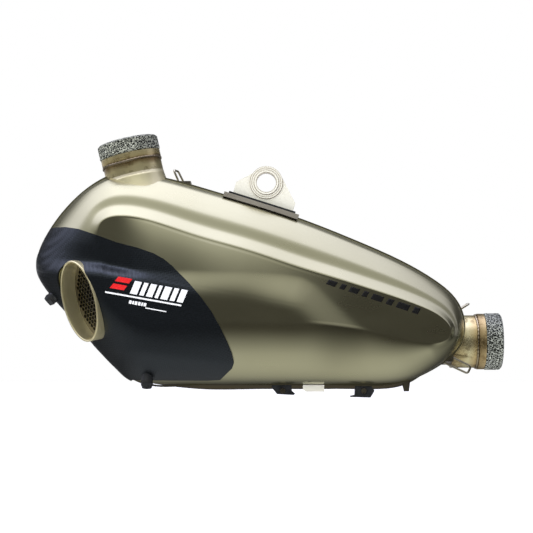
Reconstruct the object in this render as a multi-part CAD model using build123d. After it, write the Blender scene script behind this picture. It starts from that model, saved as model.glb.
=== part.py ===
from build123d import *

import os
from math import cos, hypot, radians, sin

# A two-inlet racing silencer: a titanium body pressed in two halves, a carbon cover round
# its oval outlet, two slip-joint inlets with knitted sealing rings, and one hanger plate.
# Row frame: +X towards the front inlet, +Z up, -Y is the outside face of the silencer.
# The origin is the centre of the eye in the hanger plate. All lengths are millimetres.

# ---------------------------------------------------------------- driving dimensions
WALL = 1.2              # titanium sheet of the body
OUTER_DEPTH = 58.0      # seam plane to the outside face
INNER_DEPTH = 60.0      # seam plane to the inside face
BELLY_DROP = 7.0        # the inner half hangs this much lower than the outer half

# Seam outline of the body, clockwise from the top left as seen from outside: (X, Z).
OUTLINE = [
    (-150, 9), (-110, 5), (-58, -9), (-8, -24), (42, -41), (92, -61), (141, -83), (175, -103),
    (196, -122), (205, -147), (200, -169), (176, -191), (138, -207), (70, -209), (0, -209),
    (-70, -209), (-130, -207), (-158, -188), (-196, -145), (-229, -107), (-237, -84),
    (-228, -56), (-203, -22), (-178, -1),
]
# Character line on the outside face, one point for each outline point.
CREASE = [
    (-148, -31), (-120, -36), (-67, -54), (-16, -69), (34, -86), (84, -102), (134, -119),
    (165, -131), (180, -142), (186, -155), (180, -169), (163, -182), (130, -192), (68, -196),
    (0, -197), (-70, -197), (-118, -191), (-136, -170), (-158, -138), (-172, -112),
    (-177, -88), (-178, -66), (-174, -46), (-165, -35),
]
BELLY = range(12, 16)    # outline points that hang lower on the inner half
TAIL = range(17, 23)     # outline points round the outlet, where the outside face slopes away
TAIL_SLOPE = 0.22        # how much further in the middle levels are there
# Each level of a half: (share of its depth, way from outline to crease, slope in degrees).
LEVELS = [(0.0, 0.0, 0), (0.38, 0.10, 15), (0.72, 0.40, 45), (0.93, 1.0, 70), (1.0, 1.5, 90)]

# Rear inlet, on the top: it leans back from vertical.
REAR_LEAN = 13.0
REAR_BASE = (-135.8, 8.0, -0.5)
REAR_PIPE_R = 30.5
REAR_SPIGOT_R = 27.5
REAR_FLARE_R = 33.0
REAR_COLLAR_R = 31.2
REAR_RING_R = 32.0
REAR_RING_START = 30.5      # along the inlet axis from its base
REAR_RING_LENGTH = 15.5
REAR_PIPE_START = -12.0

# Front inlet, at the right end: it points straight forward.
FRONT_BASE = (150.0, 30.0, -165.3)
FRONT_PIPE_R = 27.7
FRONT_SPIGOT_R = 25.5
FRONT_COLLAR_R = 29.4
FRONT_RING_R = 30.0
FRONT_RING_START = 79.0
FRONT_RING_LENGTH = 18.0
FRONT_PIPE_START = 44.0

INLET_WALL = 1.5
COLLAR_LENGTH = 7.0
RUNNING_GAP = 0.05          # radial clearance of a sealing ring on its spigot
RING_CHAMFER = 1.6
INLET_REACH = 80.0          # longer than any inlet
BEAD_R = 1.3                # radius of a weld bead's section
SEAM_DEPTH = 0.6            # how deep the seam weld goes into the sheet

# Oval outlet, facing back, outwards and a little down.
OUTLET_CENTRE = (-189.0, -46.0, -125.0)
OUTLET_LONG = 42.0          # half the oval's length
OUTLET_SHORT = 24.0         # half the oval's width
OUTLET_WALL = 2.2
OUTLET_DEPTH = 36.0
OUTLET_REACH = 90.0         # through the body's outside face and past the lip
OUTLET_LEAN = 15.0          # the oval's long axis leans back
OUTLET_TURN = 40.0          # how far the mouth is turned from straight outwards to the back
GRILLE_SET_BACK = 21.0
GRILLE_THICK = 2.0
GRILLE_RIM = 3.0            # plain edge round the honeycomb
GRILLE_GRID = 25            # cells across the sheet before the edge is left plain
CELL_R = 2.1                # across a honeycomb cell's corners, halved
CELL_PITCH = 2.15           # half the distance between two cells

# Carbon cover round the outlet.
COVER_GAP = 0.6
COVER_THICK = 2.0
COVER_EDGE = 2.0            # the cover stops this far short of the seam plane
COVER_OUTLINE = [
    (-260, -48), (-226, -48), (-190, -52), (-151, -66), (-113, -77), (-95, -89), (-78, -106),
    (-56, -134), (-39, -166), (-32, -186), (-34, -192), (-47, -204.5), (-138, -204.5),
    (-150, -230), (-260, -230),
]
COVER_DEEPEST = 120.0       # further out than any of the cover
COVER_HOLE_GAP = 0.5        # round the outlet pipe

# Cover fixings: (point on the shell, direction out of it).
COVER_FIXINGS = [
    ((-220.4, -9.0, -119.8), (-0.755, 0.0, -0.656)),
    ((-121.0, -31.0, -205.2), (0.0, -0.26, -0.966)),
]
BOLT_R = 3.0
BOLT_HEAD_R = 6.4
BOLT_HEAD_TOP_R = 4.8
BOLT_HEAD_HEIGHT = 4.2
SOCKET_R = 2.6
SOCKET_DEPTH = 2.0
BOSS_R = 6.0
BOSS_LENGTH = 9.0
GROMMET_HEIGHT = 3.2
FIXING_REACH = 12.0         # further out than a bolt's head

# Hanger plate and its eye.
EYE_R = 10.2
BUSH_R = 12.8
BUSH_LENGTH = 12.0
EYE_RING_R = 17.0
EYE_RING_LENGTH = 8.0
PLATE_THICK = 4.0
PLATE_OUTLINE = [
    (-34.8, -10.5), (-31.3, 0.8), (-13.9, 9.9), (0, 12), (14.7, 8.6), (30.3, -21.7),
    (27.5, -30.1),
]
# The saddle lies along the sloping top of the body, under the plate.
SADDLE_CENTRE = (-4.0, 0.0, -20.2)
SADDLE_SLOPE = 17.5
SADDLE_SIZE = (81.0, 22.0, 6.0)
DOUBLER_SIZE = (72.0, 20.0, 2.0)
BELOW_PLATE = (200.0, 60.0, 40.0)       # everything under the saddle's top

# Spring hooks: the points of each bent wire.
WIRE_R = 1.1
HOOK_BEND_R = 2.5
SPRING_HOOKS = {
    "rear_outer_hook": [(-91, 6, 0), (-97, 6, 14), (-93, 18, 14), (-86, 18, 0)],
    "rear_inner_hook": [(-176, 40, -16), (-187, 40, 0), (-187, 52, 0), (-176, 52, -18)],
    "front_upper_hook": [(196, 12, -136), (212, 12, -126), (212, 26, -126), (196, 26, -136)],
    "front_lower_hook": [(190, 3, -180), (212.5, 3, -191), (209, 3, -198.5), (182, 3, -186)],
}
# Flat tabs that the hooks are welded to: (corner, opposite corner).
HOOK_TABS = [
    ((-95, 2, -3), (-79, 22, 2.2)),
    ((-179, 37, -24), (-172, 55, -8)),
    ((190, 9, -139), (203.5, 29, -130)),
    ((184, 0, -186), (194, 6, -177)),
]

# Brackets under the body, as (X, Z) outlines.
CLIP_Y = (1.5, 9.5)
FRONT_CLIP = [
    (87.2, -222.7), (87.2, -221.5), (91.6, -220.8), (92.3, -207), (106, -207), (112.2, -216.4),
    (108, -223.3),
]
REAR_CLIP = [
    (4.5, -207), (5.8, -213.1), (11.1, -219.7), (28.4, -220.7), (29.9, -219.3), (26.5, -216.4),
    (25.7, -207),
]
CLIP_RIVETS = [(17.0, -216.4), (101.0, -216.4)]
RIVET_R = 1.8
RIVET_HEAD_R = 2.8
RIVET_HEAD = 1.2
RIVET_SHANK = 4.0
STRAP_OUTLINE = [(38, -207), (38, -215), (41, -217.3), (60, -217.3), (60, -207)]
STRAP_Y = (3.0, 4.5)
HOOK_PLATE_OUTLINE = [(140, -205), (143, -217), (148.2, -217), (150, -203)]
HOOK_PLATE_Y = (5.0, 6.5)

# Inside the body.
PARTITION_X = (-66.0, 70.0)
PARTITION_THICK = 1.5
PARTITION_SIZE = (140.0, 300.0)         # larger than the body across Y and Z
FRONT_CORE_R = 24.5
FRONT_CORE_X = (-74.0, FRONT_BASE[0] + FRONT_PIPE_START)
REAR_CORE_R = 26.5
REAR_CORE_LENGTH = 62.0
LINK_TUBE_R = 21.0
LINK_TUBE_CENTRE = (-22.0, -134.0)      # its axis, in Y and Z
LINK_TUBE_X = (-142.0, -58.0)
WOOL_R = 27.5
HOLE_R = 2.2                # perforations of the core tube
HOLE_ROWS = 11
HOLE_PITCH = 11.0
HOLES_ACROSS = 5

os.makedirs("parts", exist_ok=True)


# ---------------------------------------------------------------- small helpers
def save(name, shape):
    """Write one sub-part to its STEP file."""
    export_step(shape, f"parts/{name}.step")


def between(a, b, share):
    """The point a share of the way from a to b, in the XZ plane."""
    return (a[0] + (b[0] - a[0]) * share, a[1] + (b[1] - a[1]) * share)


def outward(points, i):
    """Unit normal that points out of a clockwise closed outline at point i."""
    x0, z0 = points[i - 1]
    x1, z1 = points[(i + 1) % len(points)]
    length = hypot(x1 - x0, z1 - z0)
    return (-(z1 - z0) / length, (x1 - x0) / length)


def section(level, depth, side, grow):
    """One closed section of a body half, grown outwards by a distance."""
    share, blend, slope = level
    flat = []
    for i, (edge, line) in enumerate(zip(OUTLINE, CREASE)):
        inward = TAIL_SLOPE if side < 0 and i in TAIL and 0 < share < 0.9 else 0
        flat.append(between(edge, line, blend + inward))
    if side > 0 and 0 < share < 0.9:
        flat = [(x, z - BELLY_DROP) if i in BELLY else (x, z) for i, (x, z) in enumerate(flat)]
    in_plane = grow * cos(radians(slope))
    y = side * (share * depth + grow * sin(radians(slope)))
    points = []
    for i, (x, z) in enumerate(flat):
        nx, nz = outward(flat, i)
        points.append((x + nx * in_plane, y, z + nz * in_plane))
    return Wire([Edge.make_spline(points, periodic=True)])


def half_body(side, grow=0.0):
    """Solid form of one half of the body; side is -1 for the outside, +1 for the inside."""
    depth = OUTER_DEPTH if side < 0 else INNER_DEPTH
    return Solid.make_loft([section(level, depth, side, grow) for level in LEVELS])


def prism(points, y0, y1):
    """Solid between two Y planes with an outline of (X, Z) points."""
    outline = Polyline(*[(x, y0, z) for x, z in points], close=True)
    return extrude(make_face(outline), amount=y1 - y0, dir=(0, 1, 0))


def tube(plane, outer, inner, start, length):
    """Round tube along a plane's normal; inner 0 makes a solid rod."""
    placed = plane.offset(start)
    ring = Circle(outer) - Circle(inner) if inner else Circle(outer)
    return extrude(placed * ring, amount=length)


def wire(points, radius):
    """Round wire bent through the given points."""
    path = FilletPolyline(*points, radius=radius)
    return sweep(Plane(path @ 0, z_dir=path % 0) * Circle(WIRE_R), path=path)


def fixing_planes():
    """A plane at each cover fixing, with its normal out of the shell."""
    return [Plane(origin=point, z_dir=out) for point, out in COVER_FIXINGS]


# ---------------------------------------------------------------- the body
rear_inlet = Plane(origin=REAR_BASE, x_dir=(0, 1, 0),
                   z_dir=(-sin(radians(REAR_LEAN)), 0, cos(radians(REAR_LEAN))))
front_inlet = Plane(origin=FRONT_BASE, x_dir=(0, 1, 0), z_dir=(1, 0, 0))
outlet_lean = radians(OUTLET_LEAN)
outlet_turn = radians(OUTLET_TURN)
outlet = Plane(origin=OUTLET_CENTRE, x_dir=(-sin(outlet_lean), 0, cos(outlet_lean)),
               z_dir=(-sin(outlet_turn) * cos(outlet_lean), -cos(outlet_turn),
                      -sin(outlet_turn) * sin(outlet_lean)))


def outlet_oval(shrink, start, length):
    """Oval prism along the outlet's axis, smaller than the pipe by shrink all round."""
    oval = Ellipse(OUTLET_LONG - shrink, OUTLET_SHORT - shrink)
    return extrude(outlet.offset(start) * oval, amount=length)


def outlet_hole(gap):
    """The outlet pipe's passage through the outside face, wider by a gap all round."""
    return outlet_oval(-gap, -OUTLET_DEPTH - 4, OUTLET_REACH)


outer_form = half_body(-1)
inner_form = half_body(+1)
outer_space = half_body(-1, -WALL)
inner_space = half_body(+1, -WALL)


def seam_plate(grow):
    """Plate as thick as the seam weld, with the seam outline grown by a distance."""
    flat = section(LEVELS[0], 0.0, 1, grow)
    return extrude(make_face(flat), amount=BEAD_R, dir=(0, 1, 0), both=True)


seam_disc = seam_plate(BEAD_R)
seam_ring = seam_disc - seam_plate(-SEAM_DEPTH)
rear_pipe_rod = tube(rear_inlet, REAR_PIPE_R, 0, 2.5 * REAR_PIPE_START, INLET_REACH)
front_pipe_rod = tube(front_inlet, FRONT_PIPE_R, 0, 0, INLET_REACH)


def fit_to_body(shape):
    """Cut a piece back so that it only rests on the body."""
    return shape - outer_form - inner_form - seam_disc


boss_rods = [
    tube(plane, BOSS_R, 0, -BOSS_LENGTH, BOSS_LENGTH + FIXING_REACH) for plane in fixing_planes()
]
outer_shell = outer_form - outer_space - seam_ring - rear_pipe_rod - outlet_hole(0) - boss_rods
inner_shell = inner_form - inner_space - seam_ring - rear_pipe_rod - front_pipe_rod
seam_weld = seam_ring - rear_pipe_rod
save("outer_shell", outer_shell)
save("inner_shell", inner_shell)
save("seam_weld", seam_weld)

# ---------------------------------------------------------------- carbon cover and its fixings
cover_sheet = half_body(-1, COVER_GAP + COVER_THICK) - half_body(-1, COVER_GAP)
carbon_cover = cover_sheet & prism(COVER_OUTLINE, -COVER_DEEPEST, -COVER_EDGE)
carbon_cover = carbon_cover - outlet_hole(COVER_HOLE_GAP) - boss_rods
for plane in fixing_planes():
    carbon_cover = carbon_cover - tube(plane, BOLT_HEAD_R, 0, GROMMET_HEIGHT, FIXING_REACH)
save("carbon_cover", carbon_cover)

bosses = []
grommets = []
bolts = []
for plane in fixing_planes():
    bosses.append(tube(plane, BOSS_R, BOLT_R, -BOSS_LENGTH, BOSS_LENGTH))
    grommets.append(tube(plane, BOSS_R, BOLT_R, 0, GROMMET_HEIGHT))
    shank = tube(plane, BOLT_R, 0, -BOSS_LENGTH, BOSS_LENGTH + GROMMET_HEIGHT)
    head = plane.offset(GROMMET_HEIGHT + BOLT_HEAD_HEIGHT / 2) * Cone(
        BOLT_HEAD_R, BOLT_HEAD_TOP_R, BOLT_HEAD_HEIGHT)
    socket = extrude(plane.offset(GROMMET_HEIGHT + BOLT_HEAD_HEIGHT - SOCKET_DEPTH) *
                     RegularPolygon(SOCKET_R, 6), amount=FIXING_REACH)
    bolts.append(shank + head - socket)
save("cover_bosses", Compound(children=bosses))
save("cover_grommets", Compound(children=grommets))
save("cover_bolts", Compound(children=bolts))

# ---------------------------------------------------------------- outlet
outlet_pipe = outlet_oval(0, -OUTLET_DEPTH, OUTLET_DEPTH)
outlet_pipe = outlet_pipe - outlet_oval(OUTLET_WALL, -OUTLET_DEPTH - 1, OUTLET_DEPTH + 2)
save("outlet_pipe", outlet_pipe)

oval = Ellipse(OUTLET_LONG - OUTLET_WALL, OUTLET_SHORT - OUTLET_WALL)
cell = RegularPolygon(CELL_R, 6)
field_long = OUTLET_LONG - OUTLET_WALL - GRILLE_RIM
field_short = OUTLET_SHORT - OUTLET_WALL - GRILLE_RIM
cells = [
    spot * cell for spot in HexLocations(CELL_PITCH, GRILLE_GRID, GRILLE_GRID)
    if (spot.position.X / field_long) ** 2 + (spot.position.Y / field_short) ** 2 < 1
]
grille = extrude(outlet.offset(-GRILLE_SET_BACK) * (oval - cells), amount=GRILLE_THICK)
save("outlet_grille", grille)


# ---------------------------------------------------------------- inlets
def inlet(name, plane, pipe_r, spigot_r, collar_r, ring_r, start, ring_length, pipe_start):
    """One slip-joint inlet: pipe with its spigot, collar, weld bead and sealing ring."""
    collar_start = start - COLLAR_LENGTH
    bore = spigot_r - INLET_WALL
    pipe = tube(plane, pipe_r, bore, pipe_start, collar_start - pipe_start)
    pipe = pipe + tube(plane, spigot_r, bore, collar_start, COLLAR_LENGTH + ring_length)
    collar = tube(plane, collar_r, spigot_r, collar_start, COLLAR_LENGTH)
    weld = plane.offset(collar_start - BEAD_R) * Torus(pipe_r, BEAD_R)
    weld = weld - tube(plane, pipe_r, 0, pipe_start, INLET_REACH)
    weld = weld - tube(plane, collar_r, 0, collar_start, COLLAR_LENGTH)
    ring = tube(plane, ring_r, spigot_r + RUNNING_GAP, start, ring_length)
    rims = ring.edges().filter_by(GeomType.CIRCLE).sort_by(lambda edge: -edge.radius)[:2]
    ring = chamfer(rims, RING_CHAMFER)
    save(f"{name}_inlet_collar", collar)
    save(f"{name}_inlet_weld", weld)
    save(f"{name}_sealing_ring", ring)
    return pipe


rear_pipe = inlet("rear", rear_inlet, REAR_PIPE_R, REAR_SPIGOT_R, REAR_COLLAR_R, REAR_RING_R,
                  REAR_RING_START, REAR_RING_LENGTH, REAR_PIPE_START)
front_pipe = inlet("front", front_inlet, FRONT_PIPE_R, FRONT_SPIGOT_R, FRONT_COLLAR_R,
                   FRONT_RING_R, FRONT_RING_START, FRONT_RING_LENGTH, FRONT_PIPE_START)
save("rear_inlet_pipe", rear_pipe)
save("front_inlet_pipe", front_pipe)

flare = rear_inlet.offset(7) * Cone(REAR_FLARE_R, REAR_PIPE_R, 14)
flare = fit_to_body(flare) - rear_pipe_rod
save("rear_inlet_flare", flare)

# ---------------------------------------------------------------- hanger
eye_axis = Plane(origin=(0, 0, 0), x_dir=(1, 0, 0), z_dir=(0, -1, 0))
saddle_top = Plane(origin=SADDLE_CENTRE, x_dir=(cos(radians(SADDLE_SLOPE)), 0,
                                                -sin(radians(SADDLE_SLOPE))),
                   z_dir=(sin(radians(SADDLE_SLOPE)), 0, cos(radians(SADDLE_SLOPE))))


def slab(plane, size, top):
    """Plate of a given size whose upper face lies top above a plane."""
    return plane.offset(top - size[2] / 2) * Box(*size)


hanger_plate = prism(PLATE_OUTLINE, -PLATE_THICK / 2, PLATE_THICK / 2)
hanger_plate = hanger_plate + tube(eye_axis, EYE_RING_R, 0, -PLATE_THICK / 2, PLATE_THICK)
below_plate = slab(saddle_top, BELOW_PLATE, 0)
hanger_plate = hanger_plate - below_plate - tube(eye_axis, BUSH_R, 0, -BUSH_LENGTH, 2 * BUSH_LENGTH)
eye_rings = []
for side in (-1, 1):
    start = PLATE_THICK / 2 if side > 0 else -EYE_RING_LENGTH / 2
    length = (EYE_RING_LENGTH - PLATE_THICK) / 2
    eye_rings.append(tube(eye_axis, EYE_RING_R, BUSH_R, start, length))
save("hanger_plate", hanger_plate)
save("hanger_eye_rings", Compound(children=eye_rings))
save("hanger_bush", tube(eye_axis, BUSH_R, EYE_R, -BUSH_LENGTH / 2, BUSH_LENGTH))
save("hanger_doubler", slab(saddle_top, DOUBLER_SIZE, 0))
save("hanger_saddle", fit_to_body(slab(saddle_top, SADDLE_SIZE, -DOUBLER_SIZE[2])))

# ---------------------------------------------------------------- spring hooks
tabs = []
for low, high in HOOK_TABS:
    centre = [(a + b) / 2 for a, b in zip(low, high)]
    size = [b - a for a, b in zip(low, high)]
    tabs.append(fit_to_body(Pos(*centre) * Box(*size)) - front_pipe_rod)
for name, points in SPRING_HOOKS.items():
    hook = fit_to_body(wire(points, HOOK_BEND_R))
    for tab in tabs:
        hook = hook - tab
    save(name, hook)
save("hook_tabs", Compound(children=[solid for tab in tabs for solid in tab.solids()]))

# ---------------------------------------------------------------- brackets underneath
front_clip = fit_to_body(prism(FRONT_CLIP, *CLIP_Y))
rear_clip = fit_to_body(prism(REAR_CLIP, *CLIP_Y))
rivets = []
for x, z in CLIP_RIVETS:
    rivet_axis = Plane(origin=(x, CLIP_Y[0], z), z_dir=(0, 1, 0))
    shank = tube(rivet_axis, RIVET_R, 0, 0, RIVET_SHANK)
    rivets.append(shank + tube(rivet_axis, RIVET_HEAD_R, 0, -RIVET_HEAD, RIVET_HEAD))
    front_clip = front_clip - shank
    rear_clip = rear_clip - shank
save("front_lower_clip", front_clip)
save("rear_lower_clip", rear_clip)
save("clip_rivets", Compound(children=rivets))
save("lower_strap", fit_to_body(prism(STRAP_OUTLINE, *STRAP_Y)))
save("lower_hook_plate", fit_to_body(prism(HOOK_PLATE_OUTLINE, *HOOK_PLATE_Y)))

# ---------------------------------------------------------------- inside the body
front_axis = Plane(origin=(0, FRONT_BASE[1], FRONT_BASE[2]), x_dir=(0, 1, 0), z_dir=(1, 0, 0))
link_axis = Plane(origin=(0, *LINK_TUBE_CENTRE), x_dir=(0, 1, 0), z_dir=(1, 0, 0))


def span(plane, radius, bore, ends):
    """Tube between two X positions."""
    return tube(plane, radius, bore, ends[0], ends[1] - ends[0])


front_core = span(front_axis, FRONT_CORE_R, FRONT_CORE_R - INLET_WALL, FRONT_CORE_X)
rods = []
for row in range(HOLE_ROWS):
    x = PARTITION_X[0] + (row + 1) * HOLE_PITCH
    for step in range(HOLES_ACROSS):
        angle = 180 * (step + 0.5 * (row % 2)) / HOLES_ACROSS
        rod_axis = Plane(origin=(x, FRONT_BASE[1], FRONT_BASE[2]),
                         z_dir=(0, cos(radians(angle)), sin(radians(angle))))
        rods.append(tube(rod_axis, HOLE_R, 0, -FRONT_CORE_R - 1, 2 * FRONT_CORE_R + 2))
save("front_core_tube", front_core - rods)
save("rear_core_tube", tube(rear_inlet, REAR_CORE_R, REAR_CORE_R - INLET_WALL,
                            REAR_PIPE_START - REAR_CORE_LENGTH, REAR_CORE_LENGTH))
save("link_tube", span(link_axis, LINK_TUBE_R, LINK_TUBE_R - INLET_WALL, LINK_TUBE_X))

for name, x in zip(("rear_partition", "front_partition"), PARTITION_X):
    sheet = Pos(x, 0, LINK_TUBE_CENTRE[1]) * Box(PARTITION_THICK, *PARTITION_SIZE)
    plate = (sheet & outer_space) + (sheet & inner_space)
    plate = plate - span(front_axis, FRONT_CORE_R, 0, FRONT_CORE_X)
    plate = plate - span(link_axis, LINK_TUBE_R, 0, LINK_TUBE_X)
    save(name, plate)

wool_ends = (PARTITION_X[0] + PARTITION_THICK / 2, PARTITION_X[1] - PARTITION_THICK / 2)
save("wool_sleeve", span(front_axis, WOOL_R, FRONT_CORE_R, wool_ends))
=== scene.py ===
import math

import bmesh
import bpy
import numpy as np
from mathutils import Matrix, Vector, noise
from mathutils.bvhtree import BVHTree


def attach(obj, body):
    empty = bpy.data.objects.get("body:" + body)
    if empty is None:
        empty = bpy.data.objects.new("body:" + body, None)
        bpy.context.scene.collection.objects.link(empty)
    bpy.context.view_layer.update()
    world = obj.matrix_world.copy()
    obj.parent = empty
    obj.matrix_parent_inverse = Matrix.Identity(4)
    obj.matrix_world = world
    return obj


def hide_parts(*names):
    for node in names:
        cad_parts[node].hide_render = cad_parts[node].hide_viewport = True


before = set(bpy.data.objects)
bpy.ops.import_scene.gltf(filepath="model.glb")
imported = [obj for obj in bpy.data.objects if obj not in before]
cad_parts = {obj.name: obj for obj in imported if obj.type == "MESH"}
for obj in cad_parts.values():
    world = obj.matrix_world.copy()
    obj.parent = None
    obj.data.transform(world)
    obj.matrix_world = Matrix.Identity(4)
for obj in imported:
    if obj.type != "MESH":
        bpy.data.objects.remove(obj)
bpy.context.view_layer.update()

MM = 0.001
HAIR = 0.001 * MM       # vertices closer than this are one

# ---------------------------------------------------------------- the body's form (millimetres)
# The same outline and character line as the CAD body, clockwise from the top left: (X, Z).
OUTLINE = [
    (-150, 9), (-110, 5), (-58, -9), (-8, -24), (42, -41), (92, -61), (141, -83), (175, -103),
    (196, -122), (205, -147), (200, -169), (176, -191), (138, -207), (70, -209), (0, -209),
    (-70, -209), (-130, -207), (-158, -188), (-196, -145), (-229, -107), (-237, -84),
    (-228, -56), (-203, -22), (-178, -1),
]
# Where the rounded edge of the outside face ends and its flat panel starts.
FACE_LINE = [
    (-148, -39), (-120, -43), (-67, -60), (-16, -74.5), (34, -91), (84, -106), (134, -122),
    (165, -134), (180, -144), (186, -154), (181, -164), (162, -167), (128, -160), (68, -150),
    (0, -146), (-66, -146), (-112, -148), (-132, -145), (-148, -132), (-160, -112),
    (-166, -90), (-169, -70), (-170, -54), (-164, -43),
]
# Where the inside half turns flat: its edge is fuller than the outside half's.
INNER_LINE = [
    (-148, -31), (-120, -36), (-67, -54), (-16, -69), (34, -86), (84, -102), (134, -119),
    (165, -131), (180, -142), (186, -155), (180, -169), (163, -182), (130, -192), (68, -196),
    (0, -197), (-70, -197), (-118, -191), (-136, -170), (-158, -138), (-172, -112),
    (-177, -88), (-178, -66), (-174, -46), (-165, -35),
]
INNER_ROUNDING = 1.25   # the rounded edge reaches this far past that line
# How much of each edge profile a point of the outline takes: pressed top, round belly, tail.
TOP_SHARE = [1] * 10 + [0.5] + [0] * 11 + [0.4, 0.9]
TAIL_SHARE = [0] * 16 + [0.3] + [0.9] + [1] * 4 + [0.6, 0.1]
INNER_DEPTH = 60.0      # how far the inside half stands off the seam
BELLY_DROP = 7.0        # how much lower its belly hangs, and which outline points that is
BELLY = range(12, 16)
WALL = 1.2              # sheet thickness
LOOP_STEPS = 12         # samples between two outline points
EDGE_STEPS = 44         # samples across the rounded edge
PANEL_STEPS = 64        # samples from the face line to the middle of the panel
# Above 1 the samples crowd towards the seam, and towards the face line of each half's panel.
EDGE_CROWDING, OUTER_CROWDING, INNER_CROWDING = 1.35, 1.5, 1.2
SPINE = ((-105, -104), (140, -149))     # the middle of the panel
SPINE_HALF = 1.5        # half the width of the loop round it

# Depth across the pressed top edge: (way from outline to face line, share of the lip's depth).
TOP_PROFILE = [
    (0, 0), (0.03, 0.135), (0.10, 0.30), (0.20, 0.425), (0.30, 0.530), (0.42, 0.633),
    (0.51, 0.700), (0.57, 0.732), (0.72, 0.782), (0.78, 0.815), (0.87, 0.895), (0.96, 0.978), (1, 1),
]
LIP_DEPTH = 48.3        # the pressed line along the top
HOLLOW_SLOPE = (0.06, 0.065)    # how much the sheet below it leans out, left and extra right
HOLLOW_CURVE = (4.6, 14.0)      # extra depth just below the line, and how far it reaches
POD_DEPTH = 57.5        # the full part of the panel
POD_EXTRA = 1.8         # the pod is this much fuller under the cover
BELLY_CREST = 0.1       # how sharply the panel turns into the belly near the wave's end
NARROWING = 0.09        # how much thinner the body is at the front inlet
# The full part of the panel starts at this wave line.
WAVE_LINE = [
    (-235, -64), (-183, -76), (-157, -84), (-117, -91), (-67, -104), (-42, -105),
    (-20, -105), (-2, -106), (18, -107), (34, -109.5), (44, -115), (52, -122), (64, -133),
    (78, -146), (98, -163), (118, -182), (130, -200),
]
LIP_LINE = [
    (-200, -140), (-185, -95), (-170, -54), (-164, -43), (-148, -39), (-120, -43), (-67, -60),
    (-16, -74.5), (34, -91), (84, -106), (134, -122), (165, -134), (180, -144), (186, -154),
]
COVER_RIDGE = [(-262, -68), (-194, -81), (-157, -92), (-117, -99), (-67, -111), (-20, -124)]
COVER_CREASE = [(-200, -163), (-163, -170), (-110, -177), (-33, -187), (0, -190)]


def loop_spline(points, steps):
    """Closed smooth curve (Catmull-Rom) through points, sampled steps times per span."""
    p = np.array(points, dtype=float)
    t = (np.arange(steps) / steps)[None, :, None]
    a, b, c, d = (np.roll(p, k, axis=0)[:, None, :] for k in (1, 0, -1, -2))
    curve = 0.5 * (2 * b + (c - a) * t + (2 * a - 5 * b + 4 * c - d) * t ** 2
                   + (3 * b - a - 3 * c + d) * t ** 3)
    return curve.reshape(-1, p.shape[1])


def smooth_step(x, low, high):
    """0 below low, 1 above high, smooth between."""
    t = np.clip((x - low) / (high - low), 0, 1)
    return t * t * (3 - 2 * t)


def smooth_table(table, t, blur=0.035):
    """Piecewise-linear table read at t, rounded over a short distance."""
    knots, values = zip(*table)
    total = np.zeros_like(t)
    offsets = np.linspace(-1, 1, 9)
    weights = 1 - np.abs(offsets) * 0.8
    reach = blur * np.minimum(1, np.minimum(t, 1 - t) / blur)
    for offset, weight in zip(offsets, weights):
        total += weight * np.interp(t + offset * reach, knots, values)
    return total / weights.sum()


def side_of_line(x, z, line):
    """Signed distance to an open line: positive below and left of it."""
    best = np.full(x.shape, 1e9)
    signed = np.zeros(x.shape)
    for (x0, z0), (x1, z1) in zip(line, line[1:]):
        dx, dz = x1 - x0, z1 - z0
        t = np.clip(((x - x0) * dx + (z - z0) * dz) / (dx * dx + dz * dz), 0, 1)
        ex, ez = x - (x0 + t * dx), z - (z0 + t * dz)
        gap = np.hypot(ex, ez)
        side = np.sign(dz * ex - dx * ez)
        nearer = gap < best
        best = np.where(nearer, gap, best)
        signed = np.where(nearer, gap * side, signed)
    return signed


def taper(x):
    """The body is thinner towards the front inlet."""
    return 1 - NARROWING * smooth_step(x, -90, 230)


def panel_depth(x, z):
    """Depth of the outside panel: a hollow above the wave line and a full part below it."""
    # The wave starts and ends this far past its line: steep at the outlet, softer ahead of it.
    start = 4 - 14 * smooth_step(x, -125, -60)
    end = 18 + 10 * smooth_step(x, -75, 40)
    full = smooth_step(side_of_line(x, z, WAVE_LINE), start, end)
    below_lip = np.clip(side_of_line(x, z, LIP_LINE), 0, 60)
    leaning = smooth_step(x, -155, -110)
    lean_share, lean_extra = HOLLOW_SLOPE
    slope = (lean_share + lean_extra * smooth_step(x, -90, -20)) * (1 - smooth_step(x, 15, 105))
    curve_depth, curve_reach = HOLLOW_CURVE
    curve = curve_depth * (1 - smooth_step(x, -60, 40)) * (1 - np.exp(-below_lip / curve_reach))
    hollow = LIP_DEPTH + leaning * (slope * below_lip + curve)
    pod = POD_DEPTH + POD_EXTRA * (1 - smooth_step(x, -60, 0))
    return (hollow + (pod - hollow) * full) * taper(x)


def panel_middle(line):
    """For each point of the face line, the matching point of a narrow loop round the spine."""
    (x0, z0), (x1, z1) = SPINE
    dx, dz = x1 - x0, z1 - z0
    along = ((line[:, 0] - x0) * dx + (line[:, 1] - z0) * dz) / (dx * dx + dz * dz)
    along = np.clip(along, 0, 1)
    spine = np.column_stack([x0 + along * dx, z0 + along * dz])
    away = line - spine
    reach = np.hypot(away[:, 0], away[:, 1])
    return spine + away / reach[:, None] * SPINE_HALF, reach - SPINE_HALF


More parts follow.
